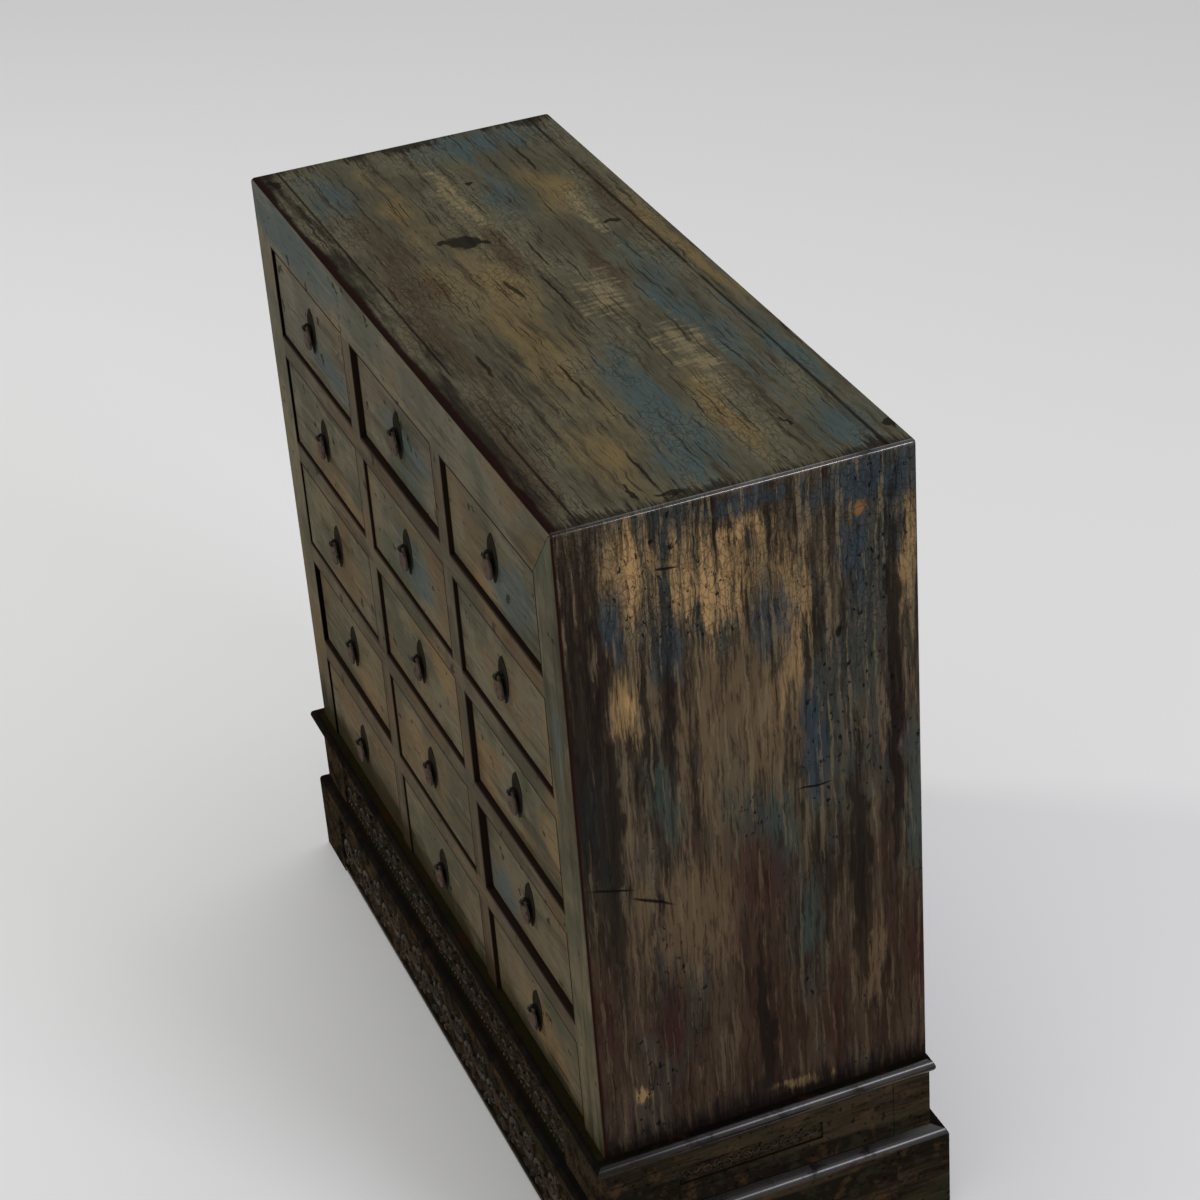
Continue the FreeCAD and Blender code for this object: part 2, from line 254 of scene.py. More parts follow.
def top_oval(right, behind, across, along, turn=0.0):
    """An oval on the top: its middle from the front left corner, then half sizes in X and Y."""
    return ((right - RIGHT, FRONT + behind, 0.0), (across, along, ANY), (0.0, 0.0, turn))


def front_oval(x, z, across, up):
    """An oval on the front: its middle, then half sizes in X and Z."""
    return ((x, 0.0, z), (across, ANY, up), (0.0, 0.0, 0.0))


def side_oval(behind, down, across, up, turn=0.0):
    """An oval on a side: its middle from the front top corner, then half sizes in Y and Z."""
    return ((0.0, FRONT + behind, TOP - down), (ANY, across, up), (turn, 0.0, 0.0))


def top_paint(board):
    """The top: worn ochre and blue-green paint under brown lacquer, the boards lying crosswise."""
    place = board.wobbled(0.03, 18.0)
    wavy = board.wobbled(0.006, 50.0)
    fine = board.noise((30.0, 560.0, 30.0), 5.0, 0.7, 3.0, where=wavy)
    broad = board.noise((7.0, 90.0, 7.0), 6.0, 0.72, 8.0, where=wavy)
    cloud = board.noise((11.0, 19.0, 11.0), 6.0, 0.64, 5.0)
    strokes = board.noise((260.0, 40.0, 40.0), 4.0, 0.6, 2.0, where=wavy)
    ragged = (fine - 0.5) * 1.2 + (broad - 0.5) * 2.6 + (cloud - 0.5) * 1.8
    ochre = board.patches(top_oval, [
        (0.340, 0.085, 0.200, 0.042), (0.125, 0.180, 0.070, 0.022), (0.500, 0.150, 0.080, 0.012),
        (0.530, 0.062, 0.075, 0.024), (0.120, 0.075, 0.100, 0.018),
        (0.300, 0.226, 0.160, 0.008)], place)
    blue = board.patches(top_oval, [
        (0.560, 0.205, 0.050, 0.030), (0.555, 0.108, 0.045, 0.032), (0.380, 0.190, 0.170, 0.020),
        (0.130, 0.150, 0.060, 0.018), (0.470, 0.115, 0.120, 0.026), (0.030, 0.170, 0.035, 0.060),
        (0.070, 0.040, 0.060, 0.020), (0.440, 0.222, 0.110, 0.012)], place)
    umber = board.patches(top_oval, [
        (0.330, 0.034, 0.170, 0.022), (0.190, 0.045, 0.150, 0.022), (0.500, 0.018, 0.120, 0.018),
        (0.230, 0.115, 0.060, 0.010), (0.150, 0.215, 0.130, 0.010),
        (0.260, 0.168, 0.090, 0.010)], place)
    pale = board.patches(top_oval, [
        (0.112, 0.119, 0.075, 0.009), (0.330, 0.146, 0.060, 0.034), (0.420, 0.165, 0.090, 0.026),
        (0.200, 0.190, 0.060, 0.010)], place)
    knots = board.patches(top_oval, [
        (0.192, 0.096, 0.015, 0.012, 1.18), (0.197, 0.107, 0.010, 0.004, 1.05),
        (0.187, 0.086, 0.008, 0.005, 1.35), (0.211, 0.201, 0.004, 0.006),
        (0.097, 0.137, 0.004, 0.003), (0.541, 0.178, 0.006, 0.002), (0.573, 0.231, 0.010, 0.003),
        (0.024, 0.012, 0.010, 0.004), (0.589, 0.080, 0.004, 0.010),
        (0.575, 0.060, 0.012, 0.002)], board.wobbled(0.014, 130.0))
    cracks = board.patches(top_oval, [
        (0.281, 0.100, 0.020, 0.0022, 0.10), (0.555, 0.077, 0.034, 0.0014),
        (0.379, 0.043, 0.024, 0.0018), (0.235, 0.135, 0.030, 0.0011),
        (0.300, 0.124, 0.036, 0.0011), (0.430, 0.085, 0.034, 0.0011),
        (0.075, 0.188, 0.034, 0.0011)], board.wobbled(0.006, 70.0))
    checks = board.marks((17.0, 420.0, 17.0), 0.60, 0.64, 11.0, wavy)
    crackle = (board.crazing((110.0, 260.0, 110.0), 0.08, board.wobbled(0.012, 90.0))
               * board.smooth(cloud, 0.48, 0.56))
    flecks = board.marks((70.0, 640.0, 70.0), 0.57, 0.62, 23.0, wavy)
    ochre = board.smooth(ochre + ragged, -0.1, 0.95)
    blue = board.smooth(blue + ragged, -0.05, 0.85)
    umber = board.smooth(umber + ragged, 0.05, 0.85)
    pale = board.smooth(pale + ragged + (strokes - 0.5) * 2.4, 0.40, 0.95)
    knots = board.smooth(knots, 0.0, 0.30)
    cracks = board.smooth(cracks, 0.0, 0.4)
    seams = board.line(board.y, FRAME_BACK, 0.0013) | board.line(board.y, POST_FRONT, 0.0017)
    seams = seams * board.marks((6.0, 60.0, 6.0), 0.36, 0.44, 14.0)
    worn = board.smooth(board.y + (broad - 0.5) * 0.10 + (cloud - 0.5) * 0.06, FRONT + 0.026, FRONT)
    arris = board.smooth(board.y + (cloud - 0.5) * 0.012, FRONT + 0.0080, FRONT + 0.0045)
    rim = board.smooth(abs(board.x) + (cloud - 0.5) * 0.07 + (fine - 0.5) * 0.05,
                       RIGHT - 0.012, RIGHT - 0.002)
    colour = board.blend(tone(74, 71, 57), tone(94, 90, 72), board.smooth(cloud, 0.40, 0.60))
    colour = mixed(board, colour, [
        (tone(50, 44, 34), board.smooth(broad, 0.48, 0.36) * 0.7),
        (tone(114, 96, 62), ochre * 0.75),
        (tone(62, 78, 79), blue * 0.8),
        (tone(62, 48, 37), umber * 0.7),
        (tone(126, 114, 86), pale * 0.75),
        (tone(98, 90, 68), flecks * 0.45),
        (tone(44, 37, 29), board.smooth(fine, 0.52, 0.62) * 0.45),
        (tone(22, 16, 13), worn * 0.7),
        (tone(30, 25, 20), checks * 0.65),
        (tone(24, 20, 16), crackle * 0.35),
        (tone(28, 23, 20), rim * 0.8),
        (tone(20, 18, 14), knots * 0.85),
        (tone(18, 15, 12), (cracks | seams) * 0.8),
        (tone(26, 9, 6), arris * 0.95)])
    height = (fine * 0.16 + broad * 0.2 + flecks * 0.06 - checks * 0.2 - crackle * 0.2
              - (knots + cracks + seams) * 0.5)
    return Finish(colour, 0.42 + fine * 0.25, height)


def front_paint(board, along, seed):
    """Face frame and drawer fronts: thin grey-green paint; along is the axis of the grain."""
    stretch = [150.0, 150.0, 150.0]
    stretch["XYZ".index(along)] = 14.0
    fine = board.noise([3.0 * s for s in stretch], 5.0, 0.65, seed)
    broad = board.noise([0.30 * s for s in stretch], 5.0, 0.65, seed + 4.0)
    cloud = board.noise((16.0, 16.0, 16.0), 5.0, 0.62, seed + 9.0)
    tint = board.noise((9.0, 9.0, 12.0), 4.0, 0.6, seed + 15.0)
    place = board.wobbled(0.025, 22.0)
    ochre = board.patches(front_oval, [
        (-0.130, 0.405, 0.060, 0.018), (0.165, 0.490, 0.035, 0.018),
        (0.130, 0.328, 0.028, 0.026), (0.050, 0.372, 0.030, 0.024),
        (-0.110, 0.560, 0.020, 0.012), (0.245, 0.338, 0.035, 0.034),
        (-0.010, 0.250, 0.070, 0.030), (0.200, 0.160, 0.060, 0.030),
        (-0.160, 0.240, 0.060, 0.030), (0.262, 0.390, 0.020, 0.060)], place)
    teal = board.patches(front_oval, [
        (-0.190, 0.585, 0.130, 0.022), (0.020, 0.520, 0.070, 0.030),
        (0.215, 0.515, 0.050, 0.030), (0.130, 0.235, 0.030, 0.024),
        (0.286, 0.440, 0.014, 0.050), (-0.160, 0.505, 0.070, 0.025),
        (0.010, 0.430, 0.050, 0.020)], place)
    ragged = (fine - 0.5) * 1.2 + (broad - 0.5) * 2.2 + (cloud - 0.5) * 1.5
    ochre = board.smooth(ochre + ragged, -0.1, 0.8)
    teal = board.smooth(teal + ragged, -0.1, 0.7)
    dents = board.marks((75.0, 75.0, 75.0), 0.64, 0.69, seed + 21.0)
    scuffs = board.marks([0.9 * s for s in stretch], 0.58, 0.65, seed + 26.0)
    shade = board.smooth(board.z + board.x * 0.04 + (cloud - 0.5) * 0.05 + (broad - 0.5) * 0.05,
                         FOOT + 0.036, FOOT + 0.002)
    colour = board.blend(tone(82, 78, 62), tone(104, 97, 78), board.smooth(cloud, 0.40, 0.60))
    colour = mixed(board, colour, [
        (tone(104, 84, 58), board.smooth(tint, 0.50, 0.60) * 0.6),
        (tone(100, 82, 60), board.smooth(board.z, 0.36, 0.20) * 0.35),
        (tone(70, 74, 58), board.smooth(tint, 0.47, 0.37) * 0.6),
        (tone(126, 102, 70), ochre * 0.6),
        (tone(108, 107, 98), board.smooth(board.z - board.x * 0.3, 0.42, 0.68) * 0.45),
        (tone(74, 85, 84), teal * 0.75),
        (tone(118, 110, 88), scuffs * 0.35),
        (tone(62, 54, 42), board.smooth(fine, 0.53, 0.62) * 0.4),
        (tone(54, 47, 36), board.smooth(broad, 0.45, 0.34) * 0.5),
        (tone(32, 29, 16), shade * 0.8),
        (tone(34, 27, 20), dents * 0.75)])
    height = fine * 0.1 + broad * 0.12 - dents * 0.25
    return Finish(colour, 0.36 + fine * 0.2, height)


def side_paint(board, seed=0.0):
    """The sides: vertical strokes of gold, blue and wine red dragged through dark lacquer."""
    place = board.wobbled(0.020, 34.0)
    wavy = board.wobbled(0.0035, 60.0)
    fine = board.noise((560.0, 560.0, 30.0), 5.0, 0.7, 1.0 + seed, where=wavy)
    strokes = board.noise((140.0, 140.0, 11.0), 6.0, 0.72, 4.0 + seed, where=wavy)
    broad = board.noise((42.0, 42.0, 7.0), 6.0, 0.7, 7.0 + seed, where=wavy)
    cloud = board.noise((15.0, 15.0, 9.0), 5.0, 0.6, 17.0 + seed)
    ragged = (fine - 0.5) * 1.7 + (strokes - 0.5) * 3.0 + (broad - 0.5) * 1.6
    gold = board.patches(side_oval, [
        (0.100, 0.052, 0.055, 0.055), (0.050, 0.040, 0.030, 0.050), (0.038, 0.128, 0.012, 0.036),
        (0.228, 0.070, 0.009, 0.060), (0.145, 0.095, 0.022, 0.070), (0.030, 0.426, 0.011, 0.010),
        (0.140, 0.456, 0.028, 0.006)], place)
    tan = board.patches(side_oval, [
        (0.110, 0.165, 0.060, 0.080), (0.070, 0.300, 0.050, 0.060),
        (0.195, 0.380, 0.016, 0.060)], place)
    bright = board.patches(side_oval, [
        (0.095, 0.066, 0.030, 0.036), (0.042, 0.128, 0.004, 0.020), (0.050, 0.040, 0.010, 0.036),
        (0.110, 0.030, 0.026, 0.016)], place)
    blue = board.patches(side_oval, [
        (0.034, 0.074, 0.011, 0.030), (0.068, 0.104, 0.013, 0.030), (0.136, 0.096, 0.016, 0.036),
        (0.190, 0.066, 0.013, 0.036), (0.200, 0.020, 0.050, 0.018), (0.120, 0.012, 0.050, 0.010),
        (0.162, 0.185, 0.012, 0.060)], place)
    teal = board.patches(side_oval, [
        (0.107, 0.190, 0.016, 0.055), (0.135, 0.250, 0.016, 0.050), (0.152, 0.330, 0.016, 0.050),
        (0.228, 0.260, 0.012, 0.070), (0.060, 0.200, 0.016, 0.050),
        (0.012, 0.200, 0.012, 0.050)], place)
    wine = board.patches(side_oval, [
        (0.056, 0.370, 0.016, 0.055), (0.171, 0.405, 0.008, 0.070), (0.231, 0.370, 0.012, 0.055),
        (0.010, 0.360, 0.010, 0.045), (0.215, 0.190, 0.016, 0.090),
        (0.120, 0.290, 0.030, 0.060)], place)
    dark = board.patches(side_oval, [
        (0.022, 0.170, 0.008, 0.200), (0.216, 0.170, 0.006, 0.180), (0.190, 0.310, 0.008, 0.120),
        (0.010, 0.150, 0.014, 0.150), (0.120, 0.400, 0.008, 0.080),
        (0.066, 0.150, 0.006, 0.060)], place)
    scratch = board.patches(side_oval, [
        (0.020, 0.259, 0.020, 0.0014, -0.28), (0.047, 0.276, 0.020, 0.0016, -0.46),
        (0.070, 0.042, 0.010, 0.0010, -0.05), (0.180, 0.118, 0.0028, 0.006),
        (0.160, 0.225, 0.016, 0.0012, -0.02)], board.wobbled(0.004, 60.0))
    amber = board.patches(side_oval, [(0.194, 0.036, 0.007, 0.006)], place)
    gold = board.smooth(gold + ragged, 0.10, 0.85)
    tan = board.smooth(tan + ragged, 0.05, 0.65)
    bright = board.smooth(bright + ragged, 0.15, 0.95)
    blue = board.smooth(blue + ragged, 0.0, 0.55)
    teal = board.smooth(teal + ragged, 0.0, 0.65)
    wine = board.smooth(wine + ragged, 0.05, 0.8)
    dark = board.smooth(dark + ragged * 0.8, -0.05, 0.4)
    pale = board.marks((230.0, 230.0, 13.0), 0.55, 0.61, 20.0, wavy)
    hairs = board.marks((420.0, 420.0, 30.0), 0.55, 0.60, 27.0, wavy)
    pits = board.marks((240.0, 240.0, 150.0), 0.60, 0.65, 12.0) * board.smooth(cloud, 0.51, 0.60)
    crazed = (board.crazing((230.0, 230.0, 120.0), 0.08, board.wobbled(0.012, 90.0))
              * board.smooth(board.z + (cloud - 0.5) * 0.4, TOP - 0.16, TOP - 0.02))
    foot = board.smooth(board.z + (strokes - 0.5) * 0.07, FOOT + 0.026, FOOT + 0.002)
    arris = board.smooth(board.y, FRONT + 0.0035, FRONT + 0.0015)
    lift = board.smooth(board.z, TOP - 0.36, TOP - 0.02)
    colour = board.blend(tone(40, 34, 27), tone(70, 61, 48), board.smooth(broad, 0.38, 0.58))
    colour = mixed(board, colour, [
        (tone(98, 86, 66), board.smooth(strokes, 0.49, 0.61) * (lift * 0.65 + 0.3)),
        (tone(26, 21, 17), board.smooth(strokes, 0.46, 0.36) * 0.65),
        (tone(54, 62, 60), board.smooth(cloud, 0.53, 0.62) * 0.5),
        (tone(60, 40, 33), board.smooth(cloud, 0.46, 0.36) * 0.4),
        (tone(56, 36, 27), board.smooth(board.z, FOOT + 0.24, FOOT + 0.04) * 0.45),
        (tone(52, 64, 60), teal * 0.75),
        (tone(98, 80, 58), tan * 0.65),
        (tone(142, 115, 78), gold * 0.85),
        (tone(172, 138, 94), bright * 0.65),
        (tone(44, 56, 63), blue * 0.75),
        (tone(50, 24, 23), wine * 0.65),
        (tone(130, 92, 52), board.smooth(amber + ragged * 0.6, 0.0, 0.8) * 0.75),
        (tone(114, 100, 76), pale * (lift * 0.35 + 0.25)),
        (tone(22, 18, 15), dark * 0.8),
        (tone(24, 19, 15), hairs * 0.5),
        (tone(24, 20, 16), crazed * 0.35),
        (tone(12, 10, 9), (pits | board.smooth(scratch, 0.0, 0.5)) * 0.9),
        (tone(17, 14, 14), foot * 0.85),
        (tone(36, 16, 12), arris)])
    height = fine * 0.18 + strokes * 0.25 + gold * 0.06 - (pits | crazed) * 0.3 - hairs * 0.1
    return Finish(colour, 0.40 + fine * 0.25, height)


def back_paint(board):
    """The back: dark thin lacquer with vertical streaks and dust."""
    fine = board.noise((360.0, 360.0, 14.0), 4.0, 0.6, 31.0)
    broad = board.noise((22.0, 22.0, 5.0), 4.0, 0.6, 37.0)
    colour = board.blend(tone(40, 33, 27), tone(66, 57, 46), board.smooth(broad, 0.35, 0.65))
    colour = mixed(board, colour, [
        (tone(28, 23, 19), board.smooth(fine, 0.5, 0.72) * 0.6),
        (tone(50, 58, 58), board.smooth(board.noise((10.0, 10.0, 4.0), 3.0, 0.5, 41.0),
                                        0.56, 0.68) * 0.4)])
    return Finish(colour, 0.5 + fine * 0.2, fine * 0.15 + broad * 0.2)


def bare_wood(board, along, seed=0.0):
    """Planed softwood inside the chest, darkened by age."""
    stretch = [190.0, 190.0, 190.0]
    stretch["XYZ".index(along)] = 9.0
    grain = board.noise(stretch, 4.0, 0.6, 51.0 + seed, 0.4)
    rings = board.noise([s * 0.16 for s in stretch], 2.0, 0.5, 57.0 + seed, 1.2)
    bands = board.node("ShaderNodeMath", {"operation": "PINGPONG"}, [rings * 9.0, 0.5]) * 2.0
    colour = board.blend(tone(122, 98, 66), tone(150, 124, 88), bands)
    colour = mixed(board, colour, [
        (tone(92, 70, 46), board.smooth(grain, 0.5, 0.75) * 0.7),
        (tone(82, 66, 48), board.smooth(board.noise((14.0, 14.0, 14.0), 3.0, 0.5, 3.0 + seed),
                                        0.5, 0.7) * 0.6)])
    return Finish(colour, 0.66 + grain * 0.1, grain * 0.12 + bands * 0.05)


def stand_paint(board, along, seed=0.0):
    """The stand: near-black lacquer rubbed back to brown on the high places."""
    stretch = [260.0, 260.0, 260.0]
    stretch["XYZ".index(along)] = 18.0
    fine = board.noise(stretch, 5.0, 0.68, 71.0 + seed)
    broad = board.noise([0.18 * s for s in stretch], 5.0, 0.66, 76.0 + seed)
    rubbed = board.noise((40.0, 40.0, 40.0), 6.0, 0.66, 79.0 + seed)
    pits = board.marks((220.0, 220.0, 220.0), 0.60, 0.66, 83.0 + seed)
    upward = board.smooth(board.turned("Z"), 0.75, 0.98)
    colour = board.blend(tone(28, 24, 18), tone(56, 47, 35), board.smooth(broad, 0.40, 0.60))
    colour = mixed(board, colour, [
        (tone(84, 63, 42), board.smooth(rubbed, 0.52, 0.64) * 0.4),
        (tone(44, 43, 31), board.smooth(rubbed, 0.48, 0.38) * 0.6),
        (tone(20, 16, 13), board.smooth(fine, 0.50, 0.64) * 0.6),
        (tone(14, 11, 10), pits * 0.6),
        # Upward faces darker: partly dark stain, partly a painted reflection of a dark room above
        (tone(14, 13, 9), upward * 0.85),
        # Painted reflection of the olive drawer fronts in the glossy top of the ledge, just in
        # front of the chest
        (tone(40, 36, 18), board.smooth(board.y, FRONT - 0.008, FRONT - 0.001) * upward
         * board.smooth(abs(board.x), RIGHT + 0.001, RIGHT - 0.002) * 0.7),
        (tone(52, 22, 13), board.smooth(rubbed, 0.56, 0.66) * upward * 0.7)])
    return Finish(colour, 0.36 + rubbed * 0.25, fine * 0.18 + rubbed * 0.25 - pits * 0.4)


def lacquer(board, finish, gloss, level=0.0, coat_rough=0.12):
    """The shader of a surface under a clear coat; level is the shine of the paint itself."""
    bump = board.node("ShaderNodeBump", {}, {
        "Strength": 1.0, "Distance": 0.001, "Height": finish.height})
    return board.node("ShaderNodeBsdfPrincipled", {}, {
        "Base Color": finish.colour, "Roughness": finish.rough, "Normal": bump,
        "Specular IOR Level": level, "Coat Weight": gloss, "Coat Roughness": coat_rough})


def laid(under, over, mask):
    """One shader with another one over it where the mask is 1."""
    return mask.board.node("ShaderNodeMixShader", {}, {0: mask, 1: under, 2: over})


def closed(board, shader):
    """The finished material."""
    board.node("ShaderNodeOutputMaterial", {}, {"Surface": shader})
    return board.material


def arris_gloss(board, flat):
    """Coat weight: high on rounded edges that run along the sides, low on the flats."""
    upward = abs(board.turned("Z"))
    edge = (board.smooth(upward, 0.06, 0.2) * board.smooth(upward, 0.998, 0.96)
            * board.smooth(abs(board.turned("X")), 0.06, 0.25))
    worn = board.smooth(board.noise((60.0, 45.0, 60.0), 4.0, 0.7, 5.0), 0.26, 0.50)
    rearward = board.smooth(board.y, FRONT - 0.01, FRONT + 0.15) * 0.7 + 0.3
    return edge * worn * rearward * (EDGE_GLOSS - flat) + flat


def top_laid(board, under):
    """The top's paint where a board shows in the top of the chest."""
    upward = (board.smooth(board.turned("Z"), 0.55, 0.8)
              * board.smooth(board.z, TOP - 0.006, TOP - 0.003))
    return laid(under, lacquer(board, top_paint(board), arris_gloss(board, TOP_GLOSS)), upward)


def flanks_laid(board, under, seed=0.0):
    """The sides' paint where a board shows in the sides of the chest."""
    flank = (board.smooth(abs(board.turned("X")), 0.55, 0.8)
             * board.smooth(abs(board.x), RIGHT - 0.006, RIGHT - 0.003))
    skin = lacquer(board, side_paint(board, seed), arris_gloss(board, SIDE_GLOSS))
    return laid(under, skin, flank)


def top_rail_material():
    """Top rail of the face frame, with its mitres."""
    board = Board("top_rail_paint")
    face = shaded_paint(board, "X", 2.0)
    slope = (RIGHT - STILE_INNER) / (TOP - RAIL_LOW)    # of the mitre, in X over Z
    mitre = board.line(abs(board.x) - (board.z - RAIL_LOW) * slope, STILE_INNER, 0.0012)
    face.colour = board.blend(face.colour, tone(20, 15, 12), mitre * 0.8)
    return closed(board, top_laid(board, lacquer(board, face, FRONT_GLOSS)))


def stile_material():
    """Side members of the face frame."""
    board = Board("stile_paint")
    face = lacquer(board, shaded_paint(board, "Z", 6.0), FRONT_GLOSS)
    return closed(board, top_laid(board, flanks_laid(board, face)))


def round_openings(board):
    """1 in the drawers' openings and 0 a little outside them; all are alike and evenly spaced."""
    low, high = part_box("drawer_r1c1")
    right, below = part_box("drawer_r1c2")[0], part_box("drawer_r2c1")[0]
    reach = 1.0
    for value, near, far, step in ((board.x, low.x, high.x, right.x - low.x),
                                   (board.z, low.z, high.z, low.z - below.z)):
        middle = board.node("ShaderNodeMath", {"operation": "PINGPONG"},
                            [value - ((near + far) / 2 - 10 * step), step / 2])
        half = (far - near) / 2
        reach = board.smooth(middle, half + 0.0032, half + 0.0022) * reach
    field = (board.smooth(abs(board.x), STILE_INNER + 0.003, STILE_INNER + 0.002)
             * board.smooth(board.z, RAIL_LOW + 0.003, RAIL_LOW + 0.002))
    return reach * field


def shaded_paint(board, along, seed):
    """The front's paint, with painted shade round the drawers and on faces that don't look forward.
    """
    face = front_paint(board, along, seed)
    inward = board.smooth(abs(board.turned("Y")), 0.8, 0.5)
    # Painted shade: a dark line on the frame round each drawer opening, and dark faces that don't
    # look forward, as inside the openings
    face.colour = mixed(board, face.colour, [
        (tone(24, 15, 11), round_openings(board) * 0.9), (GAP_SHADE, inward * 0.96)])
    return face


def rail_material(name, along, seed):
    """Rails and uprights between the drawers."""
    board = Board(name)
    face = shaded_paint(board, along, seed)
    face.colour = board.blend(face.colour, tone(66, 50, 40), 0.3)
    return closed(board, lacquer(board, face, FRONT_GLOSS))


def top_material():
    """Panel of the top: painted above, bare below."""
    board = Board("top_paint")
    return closed(board, top_laid(board, lacquer(board, bare_wood(board, "X"), 0.0)))


def side_material(name, sign, seed):
    """A side panel: painted outside, bare inside."""
    board = Board(name)
    outward = board.smooth(board.turned("X") * sign, -0.2, 0.2)
    inside = lacquer(board, bare_wood(board, "Z", seed), 0.0)
    outside = lacquer(board, side_paint(board, seed), arris_gloss(board, SIDE_GLOSS))
    return closed(board, top_laid(board, laid(inside, outside, outward)))


def back_frame_material():
    """Back posts and back rail."""
    board = Board("back_frame_paint")
    behind = lacquer(board, back_paint(board), SIDE_GLOSS)
    return closed(board, top_laid(board, flanks_laid(board, behind)))


def back_board_material():
    """Thin boards of the back, with the joints between them."""
    board = Board("back_board_paint")
    finish = back_paint(board)
    joints = board.line(board.x, -0.118, 0.0011) | board.line(board.x, 0.104, 0.0011)
    finish.colour = board.blend(finish.colour, BLACK_GAP, joints * 0.9)
    finish.height = finish.height - joints * 0.8
    return closed(board, lacquer(board, finish, BACK_GLOSS))


def wood_material(name, along, seed):
    """Bare wood of the shelves and partitions."""
    board = Board(name)
    return closed(board, lacquer(board, bare_wood(board, along, seed), 0.0, level=0.2))


def drawer_material(row, column):
    """A drawer: painted front board, bare softwood behind it."""
    node = f"drawer_r{row}c{column}"
    low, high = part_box(node)
    board = Board(f"{node}_paint")
    seed = 3.1 * row + 1.7 * column
    face = front_paint(board, "X", seed)
    middle, half = (low + high) / 2, (high - low) / 2
    # Painted shade along the edges of the drawer front, next to the frame
    edge_shade = (board.smooth(abs(board.x - middle.x), half.x - 0.003, half.x)
             | board.smooth(abs(board.z - middle.z), half.z - 0.002, half.z))
    edges = board.smooth(board.y, low.y + 0.0008, low.y + 0.0016)
    face.colour = board.blend(face.colour, tone(34, 24, 17), edge_shade * 0.6)
    # Painted shade on the front board's edges, which show in the gaps round the drawer
    face.colour = board.blend(face.colour, GAP_SHADE, edges * 0.9)
    painted = board.smooth(board.y, low.y + FRONT_BOARD + 0.0002, low.y + FRONT_BOARD - 0.0004)
    wood = lacquer(board, bare_wood(board, "Y", seed), 0.0, level=0.2)
    return closed(board, laid(wood, lacquer(board, face, FRONT_GLOSS), painted))


def stand_material(name, along, seed):
    """Members of the stand: the mouldings shine, the flat faces are dull."""
    board = Board(name)
    finish = stand_paint(board, along, seed)
    upward = abs(board.turned("Z"))
    rounded = board.smooth(upward, 0.05, 0.30) * board.smooth(upward, 0.995, 0.95)
    # Rounded mouldings painted darker: a painted dark reflection of the room, round the coat's
    # highlight
    finish.colour = board.blend(finish.colour, tone(17, 15, 15), rounded * 0.8)
    finish.height = finish.height * (1.0 - rounded * 0.85)
    gloss = arris_gloss(board, STAND_GLOSS)
    return closed(board, lacquer(board, finish, gloss, coat_rough=0.26))


def carved_material():
    """Carved relief: black in the hollows, rubbed brown on the crests, with painted grey glints on
    them.
    """
    board = Board("carved_paint")
    finish = stand_paint(board, "X", 9.0)
    rubbed = board.marks((120.0, 120.0, 120.0), 0.44, 0.62, 3.0)
    outward = abs(board.turned("Y")) | abs(board.turned("X"))
    crest = board.smooth(outward, 0.55, 0.95) * rubbed
    finish.colour = mixed(board, finish.colour, [
        (tone(72, 60, 48), crest * 0.8),
        # Painted glints: grey specks on the crests
        (tone(108, 100, 96), board.marks((90.0, 90.0, 90.0), 0.66, 0.72, 7.0) * crest)])
    return closed(board, lacquer(board, finish, CARVED_GLOSS, level=0.05))


def iron_material():
    """Wrought iron of the plates and rings, blackened."""
    board = Board("blackened_iron")
    hammered = board.noise((700.0, 700.0, 700.0), 2.0, 0.5, 1.0)
    rust = board.smooth(board.noise((260.0, 260.0, 260.0), 4.0, 0.6, 5.0), 0.55, 0.7)
    finish = Finish(board.blend(tone(40, 37, 30), tone(62, 46, 36), rust * 0.6),
                    0.42 + rust * 0.3, hammered * 0.25 - rust * 0.1)
    return metal(board, finish, IRON_GLOSS)


def drop_material():
    """Dull pinkish-grey metal of the drops."""
    board = Board("drop_metal")
    brushed = board.noise((500.0, 500.0, 90.0), 3.0, 0.6, 1.0)
    dirt = board.smooth(board.noise((240.0, 240.0, 240.0), 4.0, 0.6, 7.0), 0.5, 0.68)
    finish = Finish(board.blend(tone(88, 75, 67), tone(42, 35, 30), dirt * 0.8),
                    0.45 + dirt * 0.25, brushed * 0.1 - dirt * 0.08)
    return metal(board, finish, DROP_GLOSS)


def metal(board, finish, gloss):
    """A blackened metal, polished only on its curved faces."""
    curved = board.smooth(abs(board.turned("Y")), 0.94, 0.70)
    return closed(board, lacquer(board, finish, curved * gloss, coat_rough=0.2))


def assign(obj, material):
    """Give every face of a piece one material."""
    obj.data.materials.clear()
    obj.data.materials.append(material)


